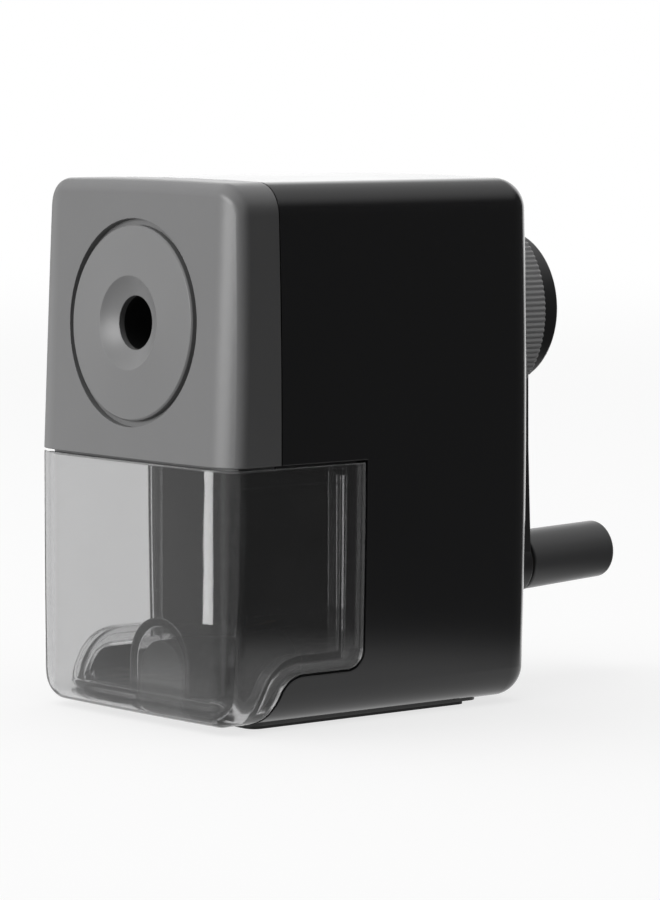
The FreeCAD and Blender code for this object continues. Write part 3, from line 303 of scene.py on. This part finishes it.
def smoke_clear(name):
    """Smoke-tinted clear plastic: real refraction, and tint that grows with thickness."""
    material = bpy.data.materials.new(name)
    material.use_nodes = True
    t = Tree(material.node_tree)
    hair = t.noise(HAIR_SCALE, 2.0, stretch=HAIR_STRETCH)
    roughness = t.math("MULTIPLY_ADD", t.step(hair, *HAIR_RANGE), HAIR_ROUGHNESS, CLEAR_ROUGHNESS)
    normal = t.bump(FLOW_STRENGTH, WAVE_DEPTH, t.noise(FLOW_SCALE, 2.0), t.bevel(CLEAR_EDGE_RADIUS))
    glass = t.add("ShaderNodeBsdfPrincipled", {"Base Color": grey(1.0), "Roughness": roughness,
                                               "IOR": CLEAR_IOR, "Transmission Weight": 1.0,
                                               "Normal": normal})
    haze = t.add("ShaderNodeBsdfDiffuse", {"Color": grey(HAZE_WHITE)})
    cloud = t.math("MULTIPLY_ADD", t.noise(HAZE_SCALE, 4.0), HAZE, HAZE / 2)
    glass = t.add("ShaderNodeMixShader", {0: cloud, 1: glass, 2: haze})
    clear = t.add("ShaderNodeBsdfTransparent", {"Color": grey(CLEAR_SHADOW)})
    shadow = t.add("ShaderNodeLightPath", out="Is Shadow Ray")
    diffuse = t.add("ShaderNodeLightPath", out="Is Diffuse Ray")
    shader = t.add("ShaderNodeMixShader", {0: t.math("MAXIMUM", shadow, diffuse), 1: glass, 2: clear})
    tint = t.add("ShaderNodeVolumeAbsorption", {"Color": CLEAR_TINT, "Density": CLEAR_DENSITY})
    t.surface(shader, tint)
    return material


MATERIALS = {
    "black_gloss": plastic("gloss_black_shell", (0.0055, 0.0055, 0.006), 0.16, edge_wear_and_highlight=0.3, smudge=0.05,
                           wave=0.04, ior=1.52),
    "grey_shell": plastic("grey_painted_bezel", (0.205, 0.205, 0.207), 0.33, grain=0.10, edge_wear_and_highlight=0.2,
                          smudge=0.04),
    "grey_disc": plastic("grey_guide_disc", (0.225, 0.225, 0.227), 0.36, grain=0.10, edge_wear_and_highlight=0.2, smudge=0.05),
    "smoke_clear": smoke_clear("smoke_clear_drawer"),
    "black_satin": plastic("black_satin_plastic", (0.009, 0.009, 0.0095), 0.38, grain=0.25, edge_wear_and_highlight=0.4),
    "grey_satin": plastic("grey_satin_ring", (0.26, 0.26, 0.262), 0.40, grain=0.2, edge_wear_and_highlight=0.4),
    "dark_grip": plastic("dark_grip_plastic", (0.045, 0.045, 0.046), 0.34, grain=0.18, edge_wear_and_highlight=0.4),
    "natural_plastic": plastic("natural_acetal", (0.62, 0.61, 0.56), 0.4, grain=0.1, edge_wear_and_highlight=0.2),
    "frame_plastic": plastic("dark_frame_plastic", (0.05, 0.05, 0.055), 0.45, grain=0.3, edge_wear_and_highlight=0.3),
    "foot_rubber": rubber("ribbed_foot_rubber", (0.012, 0.012, 0.012)),
    "plate_steel": plastic("black_painted_plate", (0.012, 0.012, 0.012), 0.35, grain=0.3, edge_wear_and_highlight=0.6),
    "steel": metal("machined_steel", (0.55, 0.55, 0.56), 0.3, brushed=(1.0, 0.1, 1.0)),
    "plated": metal("zinc_plate", (0.62, 0.62, 0.62), 0.22, scratch=0.08),
    "cutter_steel": metal("ground_tool_steel", (0.38, 0.38, 0.40), 0.28, brushed=(1.0, 0.2, 1.0)),
    "brass": metal("turned_brass", (0.72, 0.53, 0.22), 0.3, brushed=(1.0, 12.0, 1.0)),
}


def dress_nodes():
    """Every CAD node takes the finish its record slot names."""
    for part in frame["record"]["subparts"]:
        obj = frame["nodes"][part["node"]]
        material = MATERIALS[part["material_slot"]]
        if not obj.material_slots:
            obj.data.materials.append(material)
        for place in obj.material_slots:
            place.material = material


# ---------------------------------------------------------------- stage
def seen_directly(t, direction):
    """1 for what the camera sees, straight or through clear pieces, and 0 for reflections."""
    turn = math.radians(CAMERA_AZIMUTH)
    heading = (-math.sin(turn), math.cos(turn), 0.0)
    camera = t.add("ShaderNodeLightPath", out="Is Camera Ray")
    through = t.add("ShaderNodeLightPath", out="Is Transmission Ray")
    along = t.step(t.math("ABSOLUTE", t.dot(direction, heading)), *BEHIND)
    return t.math("MAXIMUM", camera, t.math("MULTIPLY", through, along))


def pale_floor():
    """Pale paper that melts into the backdrop; to reflections, a small white table."""
    material = bpy.data.materials.new("pale_floor")
    material.use_nodes = True
    t = Tree(material.node_tree)
    position = t.add("ShaderNodeNewGeometry", out="Position")
    away = t.add("ShaderNodeVectorMath", {0: position}, out="Value", operation="LENGTH")
    paper = t.add("ShaderNodeBsdfDiffuse", {"Color": grey(FLOOR_GREY)})
    paper = t.add("ShaderNodeAddShader", {0: paper, 1: t.glow(FLOOR_GLOW)})
    fade = t.step(away, *FLOOR_FADE)
    shown = t.add("ShaderNodeMixShader", {0: fade, 1: paper, 2: t.glow(BACKDROP)})
    is_diffuse = t.add("ShaderNodeLightPath", out="Is Diffuse Ray")
    level = t.math("MULTIPLY_ADD", is_diffuse, TABLE_SOFT - TABLE_GLOSSY, TABLE_GLOSSY)
    room = t.add("ShaderNodeBsdfTransparent", {"Color": grey(1.0)})
    room = t.add("ShaderNodeMixShader", {0: is_diffuse, 1: room, 2: t.glow(TABLE_EDGE)})
    far = t.step(away, *WHITE_TABLE)
    table = t.add("ShaderNodeMixShader", {0: far, 1: t.glow(level), 2: room})
    seen = seen_directly(t, t.add("ShaderNodeNewGeometry", out="Incoming"))
    t.surface(t.add("ShaderNodeMixShader", {0: seen, 1: table, 2: shown}))
    return material


def make_floor():
    mesh = bpy.data.meshes.new("floor")
    h = FLOOR_SIZE / 2
    mesh.from_pydata([(-h, -h, 0), (h, -h, 0), (h, h, 0), (-h, h, 0)], [], [(0, 1, 2, 3)])
    mesh.materials.append(pale_floor())
    floor = bpy.data.objects.new("floor", mesh)
    bpy.context.scene.collection.objects.link(floor)


def make_world():
    """White backdrop to the eye; soft boxes in a dark room to reflections and dull surfaces."""
    world = bpy.data.worlds.new("studio")
    bpy.context.scene.world = world
    world.use_nodes = True
    t = Tree(world.node_tree)
    direction = t.add("ShaderNodeTexCoord", out="Generated")
    x, y, z = (t.dot(direction, axis) for axis in ((1, 0, 0), (0, 1, 0), (0, 0, 1)))
    turn = t.math("ARCTAN2", x, t.math("MULTIPLY", y, -1.0))      # 0 in front, + to the right

    def soft_box(start, end, soft, level):
        a, b, s = math.radians(start), math.radians(end), math.radians(soft)
        rise = t.step(turn, a - s, a + s)
        fall = t.step(turn, b - s, b + s, 1.0, 0.0)
        return t.math("MULTIPLY", t.math("MULTIPLY", rise, fall), level)

    def sky(start, end, level):
        return t.step(z, start, end, 0.0, level)

    ring = t.math("ADD", soft_box(*FRONT_BOX), soft_box(*LEFT_REAR_BOX))
    ring = t.math("ADD", ring, soft_box(*RIGHT_BOX))
    ring = t.math("MULTIPLY", ring, t.step(t.math("ABSOLUTE", z), *BOX_HEIGHT, 1.0, BOX_TOP))
    glossy = t.math("MAXIMUM", ring, sky(*SKY_GLOSSY))
    through = t.add("ShaderNodeLightPath", out="Is Transmission Ray")
    glossy = t.math("MULTIPLY", glossy, t.math("MULTIPLY_ADD", through, TRAPPED - 1.0, 1.0))
    dull = t.math("ADD", t.math("ADD", soft_box(*DULL_BOX), AMBIENT), sky(*SKY_DULL))
    is_diffuse = t.add("ShaderNodeLightPath", out="Is Diffuse Ray")
    light = t.mix(is_diffuse, glossy, dull)
    colour = t.mix(seen_directly(t, direction), light, grey(BACKDROP))
    shade = t.add("ShaderNodeBackground", {"Color": colour, "Strength": 1.0})
    t.add("ShaderNodeOutputWorld", {"Surface": shade})


def make_camera():
    data = bpy.data.cameras.new("camera")
    data.lens = CAMERA_LENS
    data.clip_start, data.clip_end = CAMERA_CLIP
    camera = bpy.data.objects.new("camera", data)
    bpy.context.scene.collection.objects.link(camera)
    a, p, r = (math.radians(v) for v in (CAMERA_AZIMUTH, CAMERA_PITCH, CAMERA_ROLL))
    forward = Vector((-math.sin(a) * math.cos(p), math.cos(a) * math.cos(p), -math.sin(p)))
    level = Vector((math.cos(a), math.sin(a), 0.0))
    upright = level.cross(forward)
    right = level * math.cos(r) + upright * math.sin(r)
    up = upright * math.cos(r) - level * math.sin(r)
    turn = Matrix((right, up, -forward)).transposed()
    camera.matrix_world = Matrix.Translation(CAMERA_AT) @ turn.to_4x4()
    bpy.context.scene.camera = camera


def area_light(name, at, aim, size, power, pieces=None):
    """A lamp hidden from view and from reflections; with pieces given, it lights just those."""
    data = bpy.data.lights.new(name, "AREA")
    data.shape = "RECTANGLE"
    data.size, data.size_y = size
    data.energy = power
    lamp = bpy.data.objects.new(name, data)
    bpy.context.scene.collection.objects.link(lamp)
    lamp.location = at
    lamp.rotation_euler = (Vector(aim) - Vector(at)).to_track_quat("-Z", "Y").to_euler()
    lamp.visible_camera = False
    lamp.visible_glossy = False
    lamp.visible_transmission = False
    if pieces:
        receivers = bpy.data.collections.new(name + "_pieces")
        for piece in pieces:
            receivers.objects.link(piece)
        lamp.light_linking.receiver_collection = receivers
    return lamp


def make_lamps():
    nodes = frame["nodes"]
    middle = (cad_box[0] + cad_box[1]) / 2
    clear = [nodes[CLEAR_NODE]]
    solid = [obj for name, obj in nodes.items() if name != CLEAR_NODE]
    rear = [obj for name, obj in nodes.items() if name not in FRONT_NODES]
    key = area_light("key_box", KEY_AT, middle, KEY_SIZE, KEY_POWER, solid)
    key.visible_glossy = True
    area_light("clear_key_box", KEY_AT, middle, KEY_SIZE, KEY_POWER, clear)
    strip = area_light("strip_box", STRIP_AT, STRIP_AIM, STRIP_SIZE, STRIP_POWER, clear)
    strip.visible_glossy = True
    strip.visible_diffuse = False
    area_light("rear_box", REAR_AT, middle, REAR_SIZE, REAR_POWER, rear)
    area_light("overhead_box", OVERHEAD_AT, middle, OVERHEAD_SIZE, OVERHEAD_POWER)


def main():
    dress_nodes()
    make_floor()
    make_world()
    make_camera()
    make_lamps()
    settings = bpy.context.scene.view_settings
    settings.view_transform = "Standard"
    settings.look = "None"


main()
